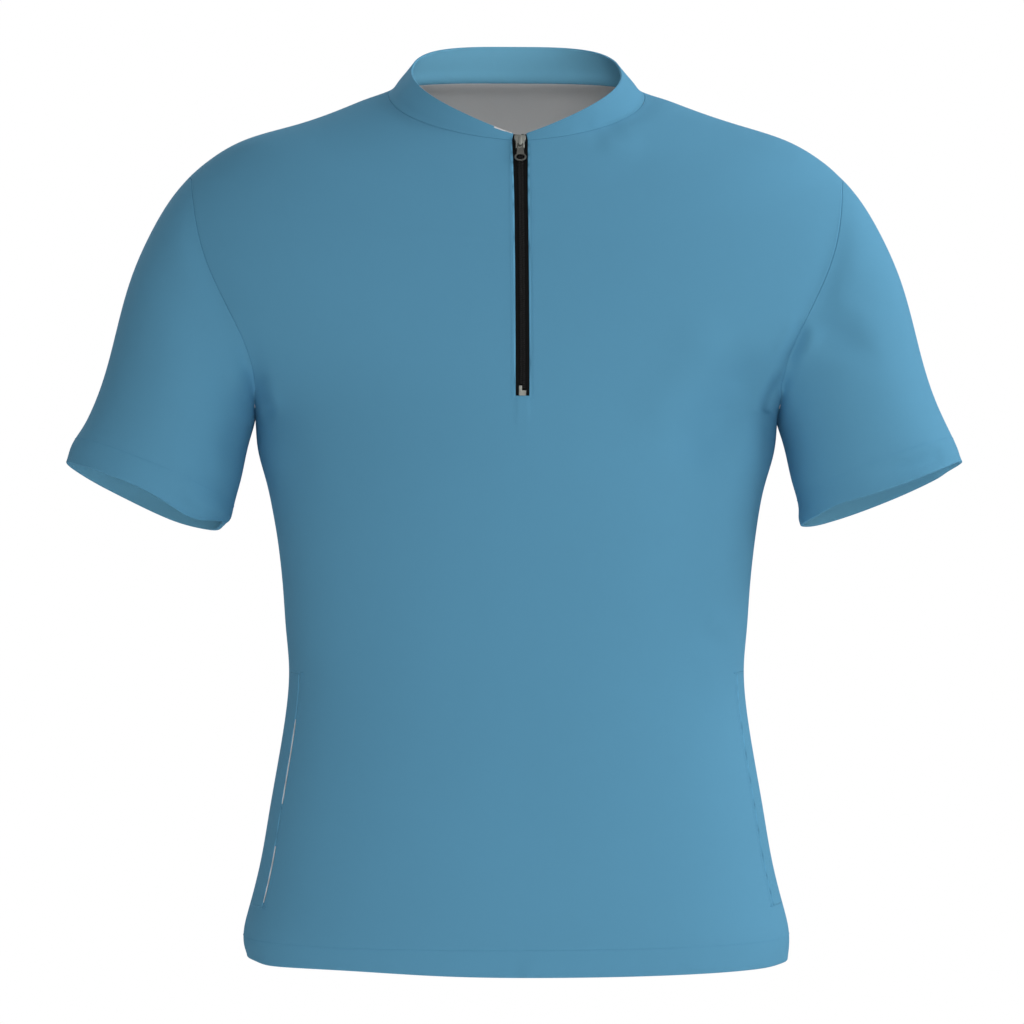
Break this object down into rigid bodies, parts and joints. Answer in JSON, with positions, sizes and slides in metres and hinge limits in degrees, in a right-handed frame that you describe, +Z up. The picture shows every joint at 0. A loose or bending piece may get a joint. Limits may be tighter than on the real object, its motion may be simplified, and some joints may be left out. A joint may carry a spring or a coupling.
{
  "type": "batting cage jacket, a short-sleeved quarter-zip pullover",
  "caption": "Short-sleeved pullover jacket in its worn shape, hollow, with a low stand collar, a quarter zip with a hinged pull tab, and side pockets.",
  "frame": {"origin": "middle of the neck, level with the high points of the shoulders, where the wearer's shoulders carry it", "axes": "+Z up, -Y to the front of the garment, +X to the wearer's left"},
  "size_m": [0.7318, 0.257, 0.7568],
  "materials": {
    "jacket_cloth": "smooth matt polyester jersey, sky blue",
    "pocket_lining": "white jersey",
    "zip_tape": "black woven tape",
    "zip_teeth": "black nylon coil",
    "zip_metal": "satin grey",
    "pull_metal": "dark gunmetal"
  },
  "bodies": {
    "jacket": {"front_panel": "jacket_cloth", "back_panel": "jacket_cloth", "sleeve_left": "jacket_cloth", "sleeve_right": "jacket_cloth", "collar": "jacket_cloth", "pocket_facing_left": "jacket_cloth", "pocket_facing_right": "jacket_cloth", "pocket_lining_left": "pocket_lining", "pocket_lining_right": "pocket_lining", "zip_tape_left": "zip_tape", "zip_tape_right": "zip_tape", "zip_teeth_left": "zip_teeth", "zip_teeth_right": "zip_teeth", "zip_slider": "zip_metal", "zip_bottom_stop": "zip_metal"},
    "pull_tab": {"zip_pull": "pull_metal"}
  },
  "joints": [
    {"name": "pull_tab_hinge", "type": "hinge", "parent": "jacket", "child": "pull_tab", "pos_m": [0, -0.08087, -0.04923], "axis": [-1, 0, 0], "range_deg": [0, 130]}
  ]
}
